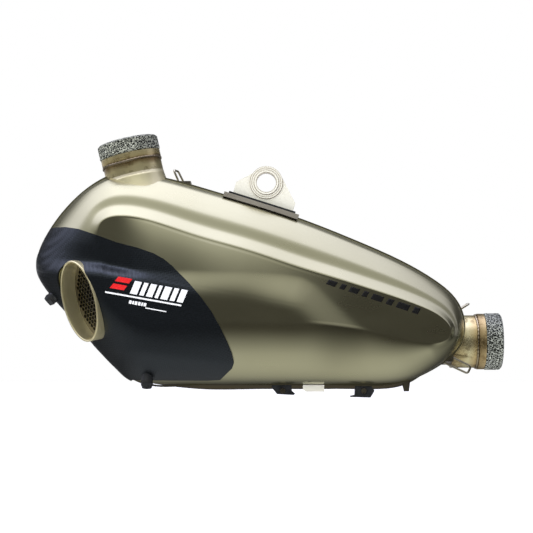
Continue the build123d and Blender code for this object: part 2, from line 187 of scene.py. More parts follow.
def outer_points():
    """Grid of points over the outside half: rings from the seam to the panel's middle."""
    rim = loop_spline(OUTLINE, LOOP_STEPS)
    line = loop_spline(FACE_LINE, LOOP_STEPS)
    top = np.clip(loop_spline([(v,) for v in TOP_SHARE], LOOP_STEPS)[:, 0], 0, 1)
    tail = np.clip(loop_spline([(v,) for v in TAIL_SHARE], LOOP_STEPS)[:, 0], 0, 1)
    belly = np.clip(1 - top - tail, 0, 1)
    lip = LIP_DEPTH * taper(line[:, 0])
    face = top * lip + (1 - top) * panel_depth(line[:, 0], line[:, 1])
    rings = []
    for t in (np.arange(EDGE_STEPS) / EDGE_STEPS) ** EDGE_CROWDING:
        flat = rim + (line - rim) * t
        at = np.full(len(rim), t)
        wave_end = smooth_step(line[:, 0], 20, 80) * (1 - smooth_step(line[:, 0], 90, 135))
        crest = 1 - BELLY_CREST * wave_end
        round_edge = np.sqrt(1 - (1 - at) ** 2)
        belly_edge = np.sqrt((1 - (1 - at * crest) ** 2) / (1 - (1 - crest) ** 2))
        # The tail's edge lies between a quarter circle and a sine.
        tail_edge = 0.42 * round_edge + 0.58 * np.sin(at * math.pi / 2)
        share = top * smooth_table(TOP_PROFILE, at) + belly * belly_edge + tail * tail_edge
        share = share / (top + belly + tail)
        rings.append(np.column_stack([flat[:, 0], -face * share, flat[:, 1]]))
    middle, reach = panel_middle(line)
    for t in (np.arange(PANEL_STEPS + 1) / PANEL_STEPS) ** OUTER_CROWDING:
        x, z = (line + (middle - line) * t).T
        depth = face + (panel_depth(x, z) - face) * smooth_step(reach * t, -2.0, 4.0)
        rings.append(np.column_stack([x, -depth, z]))
    return np.array(rings)


def inner_points():
    """Grid of points over the inside half, plainer and lower at the belly."""
    low = [(x, z - BELLY_DROP) if i in BELLY else (x, z) for i, (x, z) in enumerate(OUTLINE)]
    rim = loop_spline(OUTLINE, LOOP_STEPS)
    bulge = loop_spline(low, LOOP_STEPS)
    line = rim + (loop_spline(INNER_LINE, LOOP_STEPS) - rim) * INNER_ROUNDING
    rings = []
    for t in (np.arange(EDGE_STEPS) / EDGE_STEPS) ** EDGE_CROWDING:
        share = math.sqrt(1 - (1 - t) ** 2)
        drop = float(smooth_step(np.array(share), 0.05, 0.3)) * (1 - t)
        flat = rim + (line - rim) * t + (bulge - rim) * drop
        depth = np.full(len(rim), INNER_DEPTH * share)
        rings.append(np.column_stack([flat[:, 0], depth, flat[:, 1]]))
    middle = panel_middle(line)[0]
    for t in (np.arange(PANEL_STEPS + 1) / PANEL_STEPS) ** INNER_CROWDING:
        x, z = (line + (middle - line) * t).T
        rings.append(np.column_stack([x, np.full(len(x), INNER_DEPTH), z]))
    return np.array(rings)


# ---------------------------------------------------------------- mesh helpers
def new_object(name, vertices, faces):
    """Smooth-shaded mesh object from vertices in metres."""
    mesh = bpy.data.meshes.new(name)
    mesh.from_pydata([tuple(v) for v in vertices], [], faces)
    mesh.update()
    obj = bpy.data.objects.new(name, mesh)
    bpy.context.scene.collection.objects.link(obj)
    mesh.shade_smooth()
    return obj


def ring_faces(rings, steps, flip=False, start=0):
    """Quads between closed rings of vertices."""
    faces = []
    for i in range(rings - 1):
        for j in range(steps):
            k = (j + 1) % steps
            quad = (start + i * steps + j, start + i * steps + k,
                    start + (i + 1) * steps + k, start + (i + 1) * steps + j)
            faces.append(quad[::-1] if flip else quad)
    return faces


def closed_faces(rings, steps):
    """Quads between closed rings, and from the last ring back to the first."""
    faces = ring_faces(rings, steps)
    last = (rings - 1) * steps
    for j in range(steps):
        k = (j + 1) % steps
        faces.append((last + j, last + k, k, j))
    return faces


def prism_faces(steps):
    """The side and both ends of a prism between two closed rings."""
    return ring_faces(2, steps) + [tuple(range(steps))[::-1], tuple(range(steps, 2 * steps))]


def merge_close(obj, distance):
    """Weld vertices that lie closer than distance, and turn every face outwards."""
    bm = bmesh.new()
    bm.from_mesh(obj.data)
    bmesh.ops.remove_doubles(bm, verts=bm.verts, dist=distance)
    bmesh.ops.dissolve_degenerate(bm, edges=bm.edges, dist=distance / 2)
    bmesh.ops.triangulate(bm, faces=[face for face in bm.faces if len(face.verts) > 4])
    bmesh.ops.recalc_face_normals(bm, faces=bm.faces)
    bm.to_mesh(obj.data)
    bm.free()
    obj.data.shade_smooth()


def grid_normals(grid):
    """Unit normals of a ring grid, pointing out of the body."""
    along = np.roll(grid, -1, axis=1) - np.roll(grid, 1, axis=1)
    across = np.gradient(grid, axis=0)
    normal = np.cross(along, across)
    length = np.linalg.norm(normal, axis=2, keepdims=True)
    return normal / np.maximum(length, 1e-9)


def thick_sheet(name, grid, low, high):
    """Closed sheet from a ring grid, between two offsets along its normals."""
    normal = grid_normals(grid)
    outward_y = -1 if grid[:, :, 1].mean() < 0 else 1
    if normal[-8:, :, 1].mean() * outward_y < 0:
        normal = -normal
    # The rim's normals lie in the seam's plane, and the middle's point straight out.
    normal[0, :, 1] = 0
    normal[0] /= np.linalg.norm(normal[0], axis=1, keepdims=True)
    normal[-1] = (0, outward_y, 0)
    outside = (grid + normal * np.broadcast_to(high, grid.shape[:2])[..., None]).reshape(-1, 3) * MM
    inside = (grid + normal * low).reshape(-1, 3) * MM
    rings, steps = grid.shape[:2]
    flip = outward_y > 0
    faces = ring_faces(rings, steps, flip)
    faces += ring_faces(rings, steps, not flip, start=rings * steps)
    shift = rings * steps
    for j in range(steps):
        k = (j + 1) % steps
        quad = (j, shift + j, shift + k, k)
        faces.append(quad[::-1] if flip else quad)
    for start in (shift - steps, 2 * shift - steps):
        faces.append(tuple(range(start, start + steps)))
    obj = new_object(name, np.vstack([outside, inside]), faces)
    merge_close(obj, 0.02 * MM)
    return obj


def evaluated(obj):
    """Replace an object's mesh by the result of its modifiers."""
    graph = bpy.context.evaluated_depsgraph_get()
    mesh = bpy.data.meshes.new_from_object(obj.evaluated_get(graph))
    obj.modifiers.clear()
    obj.data = mesh


def cut(obj, cutter, operation="DIFFERENCE"):
    """Boolean with another object, which is then removed."""
    modifier = obj.modifiers.new("cut", "BOOLEAN")
    modifier.operation = operation
    modifier.solver = "EXACT"
    modifier.object = cutter
    bpy.context.view_layer.update()
    evaluated(obj)
    bpy.data.objects.remove(cutter)
    obj.data.shade_smooth()


def by_angle(obj, degrees):
    """Smooth shading that keeps edges sharper than an angle."""
    obj.data.set_sharp_from_angle(angle=math.radians(degrees))


def bevel(obj, width):
    """Small rounded edges."""
    modifier = obj.modifiers.new("bevel", "BEVEL")
    modifier.width = width * MM
    modifier.segments = 2
    modifier.limit_method = "ANGLE"
    modifier.angle_limit = math.radians(35)
    modifier.harden_normals = False


def frame_matrix(origin, z_axis, x_axis):
    """Matrix whose Z is z_axis and whose X is near x_axis; origin in millimetres."""
    z = Vector(z_axis).normalized()
    x = Vector(x_axis)
    x = (x - z * x.dot(z)).normalized()
    y = z.cross(x)
    matrix = Matrix((x, y, z)).transposed().to_4x4()
    matrix.translation = Vector(origin) * MM
    return matrix


def place(points, matrix):
    """Local millimetre points to world metres."""
    return [matrix @ (Vector(p) * MM) for p in points]


def bore(obj, matrix, a, b, reach):
    """Cut an oval hole along a matrix's Z axis, over a range of heights."""
    steps = 96
    points = []
    for height in reach:
        for j in range(steps):
            angle = 2 * math.pi * j / steps
            points.append((a * math.cos(angle), b * math.sin(angle), height))
    rod = new_object("cutter", place(points, matrix), prism_faces(steps))
    merge_close(rod, HAIR)
    cut(obj, rod)


def lathe(name, matrix, profile, steps, wobble=None):
    """Closed ring section (r, height) turned round a matrix's Z axis."""
    points = []
    for radius, height in profile:
        for j in range(steps):
            angle = 2 * math.pi * j / steps
            r = radius + (wobble(angle, radius, height) if wobble else 0)
            points.append((r * math.cos(angle), r * math.sin(angle), height))
    obj = new_object(name, place(points, matrix), closed_faces(len(profile), steps))
    merge_close(obj, HAIR)
    return obj


# ---------------------------------------------------------------- material helpers
class Graph:
    """Short way to build a node tree."""

    def __init__(self, tree):
        self.tree = tree

    def add(self, kind, **values):
        node = self.tree.nodes.new(kind)
        for key, value in values.items():
            setattr(node, key, value)
        return node

    def link(self, source, target):
        self.tree.links.new(source, target)

    def feed(self, socket, value):
        """Link a socket, or set it to a plain value."""
        if isinstance(value, (int, float)):
            socket.default_value = value
        elif isinstance(value, tuple):
            socket.default_value = (*value, 1)
        else:
            self.link(value, socket)

    def math(self, operation, a, b=0.0, c=0.0):
        node = self.add("ShaderNodeMath", operation=operation)
        for socket, value in zip(node.inputs, (a, b, c)):
            self.feed(socket, value)
        return node.outputs[0]

    def split(self, vector):
        node = self.add("ShaderNodeSeparateXYZ")
        self.link(vector, node.inputs[0])
        return node.outputs

    def ramp(self, value, stops):
        node = self.add("ShaderNodeValToRGB")
        elements = node.color_ramp.elements
        while len(elements) < len(stops):
            elements.new(0.5)
        for element, (position, colour) in zip(elements, stops):
            element.position = position
            element.color = (*colour, 1)
        self.link(value, node.inputs["Fac"])
        return node.outputs["Color"]

    def grey_ramp(self, value, stops):
        return self.ramp(value, [(position, (grey,) * 3) for position, grey in stops])

    def mix(self, factor, a, b, blend="MIX"):
        node = self.add("ShaderNodeMix", data_type="RGBA", blend_type=blend)
        sockets = [socket for socket in node.inputs if socket.enabled]
        for socket, value in zip(sockets, (factor, a, b)):
            self.feed(socket, value)
        return [socket for socket in node.outputs if socket.enabled][0]


class Nodes(Graph):
    """A material's node tree, with object coordinates."""

    def __init__(self, name):
        self.material = bpy.data.materials.new(name)
        self.material.use_nodes = True
        super().__init__(self.material.node_tree)
        self.shader = self.tree.nodes["Principled BSDF"]
        self.place = self.add("ShaderNodeTexCoord").outputs["Object"]

    def set(self, **values):
        for key, value in values.items():
            self.shader.inputs[key.replace("_", " ").capitalize()].default_value = value

    def mapped(self, scale, rotation=(0, 0, 0)):
        node = self.add("ShaderNodeMapping")
        node.inputs["Scale"].default_value = scale
        node.inputs["Rotation"].default_value = rotation
        self.link(self.place, node.inputs["Vector"])
        return node.outputs["Vector"]

    def noise(self, scale, detail=3.0, vector=None, roughness=0.5):
        node = self.add("ShaderNodeTexNoise")
        node.inputs["Scale"].default_value = scale
        node.inputs["Detail"].default_value = detail
        node.inputs["Roughness"].default_value = roughness
        self.link(vector or self.place, node.inputs["Vector"])
        return node.outputs["Fac"]

    def bump(self, height, distance):
        """Bump on top of any bump that is already there."""
        node = self.add("ShaderNodeBump")
        node.inputs["Distance"].default_value = distance * MM
        self.link(height, node.inputs["Height"])
        if self.shader.inputs["Normal"].is_linked:
            self.link(self.shader.inputs["Normal"].links[0].from_socket, node.inputs["Normal"])
        self.link(node.outputs["Normal"], self.shader.inputs["Normal"])

    def colour(self, socket):
        self.link(socket, self.shader.inputs["Base Color"])

    def tint(self, socket, share=1.0):
        """Multiply the colour that is already there by another."""
        base = self.shader.inputs["Base Color"].links[0].from_socket
        self.colour(self.mix(share, base, socket, "MULTIPLY"))

    def rough(self, socket):
        self.link(socket, self.shader.inputs["Roughness"])


def titanium(name, light, dark, rough_low, rough_high, grain=0.006):
    """Satin titanium: fine blasted grain, faint clouds of tint and handling marks."""
    n = Nodes(name)
    n.set(metallic=1.0)
    clouds = n.noise(9, 4)
    n.colour(n.ramp(clouds, [(0.3, dark), (0.7, light)]))
    smears = n.noise(45, 4, n.mapped((0.4, 1, 1.3), (0, 0.3, 0)))
    n.rough(n.grey_ramp(smears, [(0.3, rough_low), (0.7, rough_high)]))
    n.bump(n.noise(1800, 2), grain)
    return n


SHELL_FINISH = ((0.575, 0.560, 0.365), (0.550, 0.530, 0.335), 0.27, 0.30)


def titanium_shell():
    return titanium("satin_titanium", *SHELL_FINISH).material


def titanium_inner():
    """The same metal, darkened dark brown towards the bottom of the fold by painted shade."""
    n = titanium("inner_titanium", *SHELL_FINISH)
    # Painted shade: below the belly, where shade falls under the fold, the colour turns dark brown.
    height = n.math("ADD", n.split(n.place)["Z"], n.math("MULTIPLY", n.noise(60, 3), 2 * MM))
    share = n.math("DIVIDE", n.math("ADD", height, 220 * MM), 20 * MM)
    n.tint(n.ramp(share, [(0.55, (0.20, 0.16, 0.12)), (1.0, (1.0, 1.0, 1.0))]))
    return n.material


def titanium_plate():
    n = titanium("plate_titanium", (0.92, 0.90, 0.80), (0.86, 0.83, 0.72), 0.46, 0.54)
    n.set(metallic=0.15)
    return n


def turned_plate():
    """The same plate with thin brown lines of painted shade where the turned rings of the eye meet.
    """
    n = titanium_plate()
    split = n.split(n.place)
    across = n.math("MULTIPLY", split["X"], split["X"])
    up = n.math("MULTIPLY", split["Z"], split["Z"])
    radius = n.math("SQRT", n.math("ADD", across, up))
    span = 20
    share = n.math("DIVIDE", radius, span * MM)
    # Painted shade: the dark colour below darkens thin rings at the radii where the turned steps
    # meet.
    plain, line = (1.0, 1.0, 1.0), (0.27, 0.21, 0.14)
    stops = [(0.0, plain)]
    for edge in (10.6, 12.8, 15.2, 17.0):
        stops += [((edge - 0.55) / span, plain), (edge / span, line), ((edge + 0.45) / span, plain)]
    n.tint(n.ramp(share, stops))
    return n.material


def titanium_outlet():
    n = titanium("outlet_titanium", (0.95, 0.87, 0.54), (0.88, 0.78, 0.45), 0.30, 0.38, 0.0005)
    n.set(metallic=0.86)
    return n.material


def heated_titanium(name, matrix, bands):
    """Titanium with heat tint in bands along an inlet's axis; bands are in millimetres."""
    n = titanium(name, (0.84, 0.79, 0.50), (0.70, 0.63, 0.38), 0.24, 0.34)
    n.set(metallic=0.85)
    axis = matrix.to_3x3().col[2]
    origin = matrix.translation
    dot = n.add("ShaderNodeVectorMath", operation="DOT_PRODUCT")
    n.link(n.place, dot.inputs[0])
    dot.inputs[1].default_value = axis
    height = n.math("SUBTRACT", dot.outputs["Value"], origin.dot(axis))
    wander = n.math("MULTIPLY", n.math("SUBTRACT", n.noise(60, 4), 0.5), 8 * MM)
    height = n.math("ADD", height, wander)
    low, high = bands[0][0], bands[-1][0]
    share = n.math("DIVIDE", n.math("SUBTRACT", height, low * MM), (high - low) * MM)
    stops = [((at - low) / (high - low), tint) for at, tint in bands]
    n.tint(n.ramp(share, stops))
    scorch = n.ramp(n.noise(130, 4, roughness=0.65), [(0.36, (0.34, 0.27, 0.20)), (0.47, (1, 1, 1))])
    n.tint(scorch, 0.55)
    return n.material


def flare_metal():
    n = titanium("flare_titanium", (0.86, 0.80, 0.52), (0.78, 0.71, 0.43), 0.28, 0.36)
    n.set(metallic=0.7)
    return n.material


def saddle_metal():
    """Folded strip under the hanger, stained purple-brown along its length."""
    n = titanium("saddle_titanium", (0.46, 0.43, 0.36), (0.18, 0.15, 0.12), 0.30, 0.40)
    n.set(metallic=0.5)
    return n.material


def weld_metal():
    return titanium("weld_bead", (0.66, 0.58, 0.38), (0.30, 0.23, 0.15), 0.24, 0.40, 0.03).material


def wire_metal():
    n = Nodes("hook_wire")
    n.set(metallic=1.0)
    n.colour(n.ramp(n.noise(40, 3), [(0.3, (0.42, 0.39, 0.29)), (0.7, (0.72, 0.68, 0.52))]))
    n.rough(n.grey_ramp(n.noise(150, 3), [(0.3, 0.22), (0.7, 0.38)]))
    n.bump(n.noise(900, 2, n.mapped((1, 1, 0.1))), 0.02)
    return n.material


WEAVE_PITCH = 2.05      # width of one tow in millimetres
WEAVE_TILT = 11.0       # degrees that the cloth is laid off the row's axes


def carbon():
    """Plain-weave carbon under satin resin: tows cross over and under in squares."""
    n = Nodes("carbon_weave")
    turned = n.mapped((1, 1, 1), (0, math.radians(WEAVE_TILT), 0))
    split = n.split(turned)
    wave = math.pi / (WEAVE_PITCH * MM)
    # Depth turns the cloth's vertical coordinate round the lower edge, so squares stay square.
    across = n.math("MULTIPLY", split["X"], wave)
    up = n.math("MULTIPLY", n.math("SUBTRACT", split["Z"], split["Y"]), wave)
    warp = n.math("ABSOLUTE", n.math("SINE", across))
    weft = n.math("ABSOLUTE", n.math("SINE", up))
    sign = n.math("MULTIPLY", n.math("SINE", across), n.math("SINE", up))
    over = n.math("GREATER_THAN", sign, 0.0)
    warp_high = n.math("MULTIPLY", over, warp)
    weft_high = n.math("MULTIPLY", n.math("SUBTRACT", 1.0, over), weft)
    height = n.math("ADD", warp_high, weft_high)
    fibres = n.noise(1500, 2, n.mapped((0.15, 1, 1)))
    tone = n.math("ADD", n.math("MULTIPLY", over, 0.55), n.math("MULTIPLY", fibres, 0.25))
    n.colour(n.ramp(tone, [(0.0, (0.0006, 0.0009, 0.0012)), (0.9, (0.0035, 0.0045, 0.006))]))
    n.rough(n.grey_ramp(tone, [(0.1, 0.40), (0.8, 0.27)]))
    n.shader.inputs["Specular IOR Level"].default_value = 0.72
    n.shader.inputs["Specular Tint"].default_value = (0.80, 0.92, 1.0, 1)
    n.bump(height, 0.09)
    return n.material


def knitted_wire(name, light):
    """Pressed knitted wire and graphite: bright wire loops over dark filler."""
    n = Nodes(name)
    n.set(metallic=0.35)
    swirl = n.add("ShaderNodeTexNoise")
    swirl.inputs["Scale"].default_value = 330
    n.link(n.place, swirl.inputs["Vector"])
    scaled = n.add("ShaderNodeVectorMath", operation="SCALE")
    scaled.inputs["Scale"].default_value = 2.2 * MM
    n.link(swirl.outputs["Color"], scaled.inputs[0])
    warped = n.add("ShaderNodeVectorMath", operation="ADD")
    n.link(n.place, warped.inputs[0])
    n.link(scaled.outputs[0], warped.inputs[1])
    cells = n.add("ShaderNodeTexVoronoi", feature="DISTANCE_TO_EDGE")
    cells.inputs["Scale"].default_value = 470
    n.link(warped.outputs[0], cells.inputs["Vector"])
    wires = n.grey_ramp(cells.outputs["Distance"], [(0.05, 1.0), (0.22, 0.0)])
    specks = n.noise(620, 2, roughness=0.6)
    tone = n.math("MULTIPLY_ADD", wires, 0.38, n.math("MULTIPLY", specks, 0.9))
    n.colour(n.ramp(tone, [(0.53, (0.003, 0.004, 0.003)), (0.68, (0.070, 0.075, 0.060)),
                           (0.90, light)]))
    n.rough(n.grey_ramp(specks, [(0.3, 0.45), (0.7, 0.65)]))
    n.bump(tone, 0.5)
    return n.material


def black_paint():
    n = Nodes("black_coating")
    n.set(metallic=0.0)
    n.colour(n.ramp(n.noise(120, 4), [(0.3, (0.008, 0.009, 0.010)), (0.75, (0.028, 0.030, 0.032))]))
    n.rough(n.grey_ramp(n.noise(200, 3), [(0.3, 0.30), (0.7, 0.46)]))
    n.bump(n.noise(900, 2), 0.03)
    return n.material


def black_rubber():
    n = Nodes("grommet_rubber")
    n.colour(n.ramp(n.noise(160, 3), [(0.3, (0.010, 0.010, 0.010)), (0.7, (0.024, 0.024, 0.024))]))
    n.rough(n.grey_ramp(n.noise(260, 3), [(0.3, 0.62), (0.7, 0.82)]))
    n.bump(n.noise(1200, 2), 0.05)
    return n.material


def grille_metal():
    return titanium("grille_steel", (0.36, 0.33, 0.27), (0.24, 0.22, 0.18), 0.34, 0.5, 0.02).material


def inner_steel():
    return titanium("inner_steel", (0.42, 0.40, 0.37), (0.32, 0.30, 0.28), 0.4, 0.55, 0.02).material


def mineral_wool():
    n = Nodes("mineral_wool")
    strands = n.noise(500, 4, n.mapped((0.3, 1, 1)))
    n.colour(n.ramp(strands, [(0.3, (0.42, 0.36, 0.22)), (0.7, (0.74, 0.68, 0.50))]))
    n.set(roughness=0.95)
    n.bump(strands, 0.5)
    return n.material


def ink(name, colour):
    """Printed or lasered mark with a little grain."""
    n = Nodes(name)
    n.shader.inputs["Specular IOR Level"].default_value = 0.25
    lighter = tuple(min(1, c * 1.12 + 0.004) for c in colour)
    n.colour(n.ramp(n.noise(700, 3), [(0.3, colour), (0.7, lighter)]))
    n.rough(n.grey_ramp(n.noise(300, 2), [(0.3, 0.42), (0.7, 0.55)]))
    n.bump(n.noise(1800, 2), 0.01)
    return n.material


def dress(obj, material):
    """Give an object one material."""
    obj.data.materials.clear()
    obj.data.materials.append(material)


# ---------------------------------------------------------------- places taken from the design
REAR_LEAN = math.radians(13)
REAR = frame_matrix((-135.8, 8.0, -0.5), (-math.sin(REAR_LEAN), 0, math.cos(REAR_LEAN)), (0, 1, 0))
FRONT = frame_matrix((150.0, 30.0, -165.3), (1, 0, 0), (0, 1, 0))
LEAN = math.radians(15)
TURN = math.radians(40)
OUTLET = frame_matrix((-189.0, -46.0, -125.0),
                      (-math.sin(TURN) * math.cos(LEAN), -math.cos(TURN),
                       -math.sin(TURN) * math.sin(LEAN)),
                      (-math.sin(LEAN), 0, math.cos(LEAN)))
OVAL_A, OVAL_B, OVAL_WALL, OVAL_DEPTH = 42.0, 24.0, 2.2, 36.0
REAR_PIPE_R, FRONT_PIPE_R = 30.5, 27.7
# How far each hole in the sheet is cut along its pipe's axis.
OUTLET_REACH, REAR_REACH, FRONT_REACH = (-40, 60), (-30, 50), (10, 90)


def trim(obj, outline, y_low, y_high):
    """Keep only what lies inside a prism along Y with an outline of (X, Z) points."""
    points = [(x * MM, y * MM, z * MM) for y in (y_low, y_high) for x, z in outline]
    prism = new_object("cutter", points, prism_faces(len(outline)))
    merge_close(prism, HAIR)
    cut(obj, prism, "INTERSECT")


# ---------------------------------------------------------------- body halves
def make_outer_shell(material):
    shell = thick_sheet("outer_half", outer_points(), -WALL, 0.0)
    bore(shell, OUTLET, OVAL_A, OVAL_B, OUTLET_REACH)
    bore(shell, REAR, REAR_PIPE_R, REAR_PIPE_R, REAR_REACH)
    by_angle(shell, 50)
    dress(shell, material)
    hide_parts("outer_shell")
    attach(shell, "silencer")
    return shell


def make_inner_shell(material):
    shell = thick_sheet("inner_half", inner_points(), -WALL, 0.0)
    bore(shell, REAR, REAR_PIPE_R, REAR_PIPE_R, REAR_REACH)
    bore(shell, FRONT, FRONT_PIPE_R, FRONT_PIPE_R, FRONT_REACH)
    by_angle(shell, 50)
    dress(shell, material)
    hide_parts("inner_shell")
    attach(shell, "silencer")


COVER_GAP = 0.1         # between the cover and the outlet
COVER_OUTLINE = [
    (-262, -46), (-226, -47.5), (-205, -48.5), (-190, -51.5), (-170, -58.5), (-151, -65.5),
    (-130, -71), (-113, -77), (-103, -82.5), (-95, -89), (-78, -106), (-66, -120), (-55, -135),
    (-46, -151), (-38.5, -167), (-34, -179), (-32.5, -187), (-34.5, -192.5), (-47, -204.5),
    (-60, -205.2), (-138, -204.8), (-150, -214), (-150, -230), (-262, -230),
]


def make_cover(material):
    """Sheet over the outside half, thicker below its ridge and along its crease."""
    grid = outer_points()
    x, z = grid[:, :, 0], grid[:, :, 2]
    below_ridge = smooth_step(side_of_line(x, z, COVER_RIDGE), -7, 9)
    crease = np.exp(-(side_of_line(x, z, COVER_CREASE) / 6) ** 2)
    cover = thick_sheet("cover_sheet", grid, 0.4, 1.2 + 1.3 * below_ridge + 0.5 * crease)
    trim(cover, COVER_OUTLINE, -120, -2)
    bore(cover, OUTLET, OVAL_A + COVER_GAP, OVAL_B + COVER_GAP, OUTLET_REACH)
    by_angle(cover, 40)
    dress(cover, material)
    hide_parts("carbon_cover")
    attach(cover, "silencer")
    return cover


def body_solid():
    """Closed form of both halves together."""
    outer_grid, inner_grid = outer_points(), inner_points()
    rings, steps = outer_grid.shape[:2]
    faces = ring_faces(rings, steps)
    faces += ring_faces(inner_grid.shape[0], steps, True, start=rings * steps)
    for end in (rings * steps, (rings + inner_grid.shape[0]) * steps):
        faces.append(tuple(range(end - steps, end)))
    points = np.vstack([outer_grid.reshape(-1, 3), inner_grid.reshape(-1, 3)]) * MM
    obj = new_object("body_solid", points, faces)
    merge_close(obj, 0.02 * MM)
    return obj


PARTITION_THICK = 1.5
PARTITION_INSET = 1.6                   # sheet thickness and a little air
FRONT_CORE = (30.0, -165.3, 24.5)       # the core tube's axis, Y and Z, and its radius
LINK_TUBE = (-22.0, -134.0, 21.0)


def section_loop(solid, x):
    """Ordered (Y, Z) points, in millimetres, of a closed mesh's section at x."""
    bm = bmesh.new()
    bm.from_mesh(solid.data)
    parts = bm.verts[:] + bm.edges[:] + bm.faces[:]
    result = bmesh.ops.bisect_plane(bm, geom=parts, plane_co=(x * MM, 0, 0), plane_no=(1, 0, 0),
                                    clear_inner=True, clear_outer=True)
    next_to = {}
    for edge in result["geom_cut"]:
        if isinstance(edge, bmesh.types.BMEdge):
            first, second = edge.verts
            next_to.setdefault(first, []).append(second)
            next_to.setdefault(second, []).append(first)
    start = max(next_to, key=lambda vert: vert.co.z)
    loop = [start]
    visited = {start}
    while True:
        ahead = [vert for vert in next_to[loop[-1]] if vert not in visited]
        if not ahead:
            break
        loop.append(ahead[0])
        visited.add(ahead[0])
    points = np.array([(vert.co.y, vert.co.z) for vert in loop]) / MM
    bm.free()
    kept = [points[0]]
    for point in points[1:]:
        if np.hypot(*(point - kept[-1])) > 1.0:
            kept.append(point)
    return np.array(kept)


def inset_loop(points, distance):
    """Closed loop of points moved inwards."""
    ahead, behind = np.roll(points, -1, axis=0), np.roll(points, 1, axis=0)
    along = ahead - behind
    along /= np.hypot(along[:, 0], along[:, 1])[:, None]
    area = np.sum(points[:, 0] * ahead[:, 1] - ahead[:, 0] * points[:, 1])
    inwards = np.column_stack([-along[:, 1], along[:, 0]]) * np.sign(area)
    return points + inwards * distance


def make_partition(node, x, solid, material):
    """One inner wall, shaped to the smooth body's inside, with holes for the tubes."""
    loop = inset_loop(section_loop(solid, x), PARTITION_INSET)
    points = []
    for side in (x - PARTITION_THICK / 2, x + PARTITION_THICK / 2):
        points += [(side * MM, y * MM, z * MM) for y, z in loop]
    wall = new_object(node + "_sheet", points, prism_faces(len(loop)))
    merge_close(wall, HAIR)
    for y, z, radius in (FRONT_CORE, LINK_TUBE):
        bore(wall, frame_matrix((x, y, z), (1, 0, 0), (0, 1, 0)), radius, radius, (-5, 5))
    by_angle(wall, 40)
    dress(wall, material)
    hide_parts(node)
    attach(wall, "silencer")


# ---------------------------------------------------------------- outlet
def make_outlet_pipe(material):
    """Oval pipe with a rolled lip; its wall follows the oval at an even distance."""
    steps = 192
    lip = []
    for k in range(9):
        angle = math.pi * k / 8
        lip.append((OVAL_WALL / 2 * (1 - math.cos(angle)), OVAL_WALL / 2 * math.sin(angle)))
    section = [(0, -OVAL_DEPTH), (0, -20), (0, -8)]
    section += [(inset, height - OVAL_WALL / 2) for inset, height in lip]
    section += [(OVAL_WALL, -8), (OVAL_WALL, -20), (OVAL_WALL, -OVAL_DEPTH)]
    points = []
    for inset, height in section:
        for j in range(steps):
            angle = 2 * math.pi * j / steps
            nx, ny = math.cos(angle) / OVAL_A, math.sin(angle) / OVAL_B
            length = math.hypot(nx, ny)
            x = OVAL_A * math.cos(angle) - nx / length * inset
            y = OVAL_B * math.sin(angle) - ny / length * inset
            points.append((x, y, height))
    pipe = new_object("oval_outlet", place(points, OUTLET), closed_faces(len(section), steps))
    merge_close(pipe, HAIR)
    by_angle(pipe, 50)
    dress(pipe, material)
    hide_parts("outlet_pipe")
    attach(pipe, "silencer")


# ---------------------------------------------------------------- sealing rings
def make_ring(name, node, body, matrix, outer, inner, start, length, material):
    """Knitted ring: its skin is broken up by real bumps and pits."""
    chamfer, ease = 1.6, 0.3        # at the outer and inner edges
    skin = 34                       # steps along the outside
    end = start + length
    flat = outer - inner - chamfer - ease
    profile = [(inner + ease, start), (inner + 0.05, start + ease), (inner + 0.05, end - ease),
               (inner + ease, end)]
    profile += [(inner + ease + flat * (k + 1) / 8, end) for k in range(8)]
    profile.append((outer, end - chamfer))
    profile += [(outer, end - chamfer - (length - 2 * chamfer) * (k + 1) / skin) for k in range(skin)]
    profile += [(outer - chamfer - flat * k / 9, start) for k in range(9)]

    def rough_skin(angle, radius, height):
        if radius < inner + 1:
            return 0
        spot = Vector((radius * math.cos(angle), radius * math.sin(angle), height))
        pits = noise.noise(spot * 0.95) + 0.6 * noise.noise(spot * 2.1)
        return -0.30 + 0.28 * max(-1, min(1, pits * 1.4))

    ring = lathe(name, matrix, profile, 420, rough_skin)
    dress(ring, material)
    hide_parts(node)
    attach(ring, body)


# Skirt round the rear pipe, from the pipe down past the body's sheet: (radius, height).
FLARE_PROFILE = [
    (30.6, 9), (30.9, 5), (31.4, 1), (32.2, -3), (33.3, -7), (34.8, -11), (36.4, -14.5),
    (35.2, -15), (33.2, -11), (31.6, -6), (30.6, 0),
]


def make_flare(material):
    """Skirt that leads the rear pipe into the body; its lower edge lies inside the sheet."""
    flare = lathe("rear_skirt", REAR, FLARE_PROFILE, 160)
    dress(flare, material)
    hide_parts("rear_inlet_flare")
    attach(flare, "silencer")


# ---------------------------------------------------------------- weld beads
def make_weld(name, node, matrix, radius, at, material, ripples, seed):
    """Weld bead laid by hand: overlapping ripples and a slightly wandering path."""
    bead = 1.5
    rng = np.random.default_rng(seed)
    phases = rng.uniform(0, 2 * math.pi, 4)
    section, steps = 14, 540        # samples round the bead and along it
    points = []
    for i in range(section):
        turn = 2 * math.pi * i / section
        for j in range(steps):
            angle = 2 * math.pi * j / steps
            wander = sum(math.sin(angle * (k + 2) + phases[k]) for k in range(4)) * 0.22
            scallop = abs(math.sin(angle * ripples / 2 + 0.8 * math.cos(turn)))
            size = bead * (0.80 + 0.20 * scallop)
            r = radius + size * math.cos(turn) * 0.8
            points.append((r * math.cos(angle), r * math.sin(angle),
                           at + wander + size * math.sin(turn)))
    weld = new_object(name, place(points, matrix), closed_faces(section, steps))
    merge_close(weld, HAIR)
    dress(weld, material)
    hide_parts(node)
    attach(weld, "silencer")


# ---------------------------------------------------------------- printed marks
MARK_LIFT = 0.12        # of a mark's middle off its surface
MARK_THICK = 0.08
MARK_GRID = 2.5         # longest edge in a mark's mesh


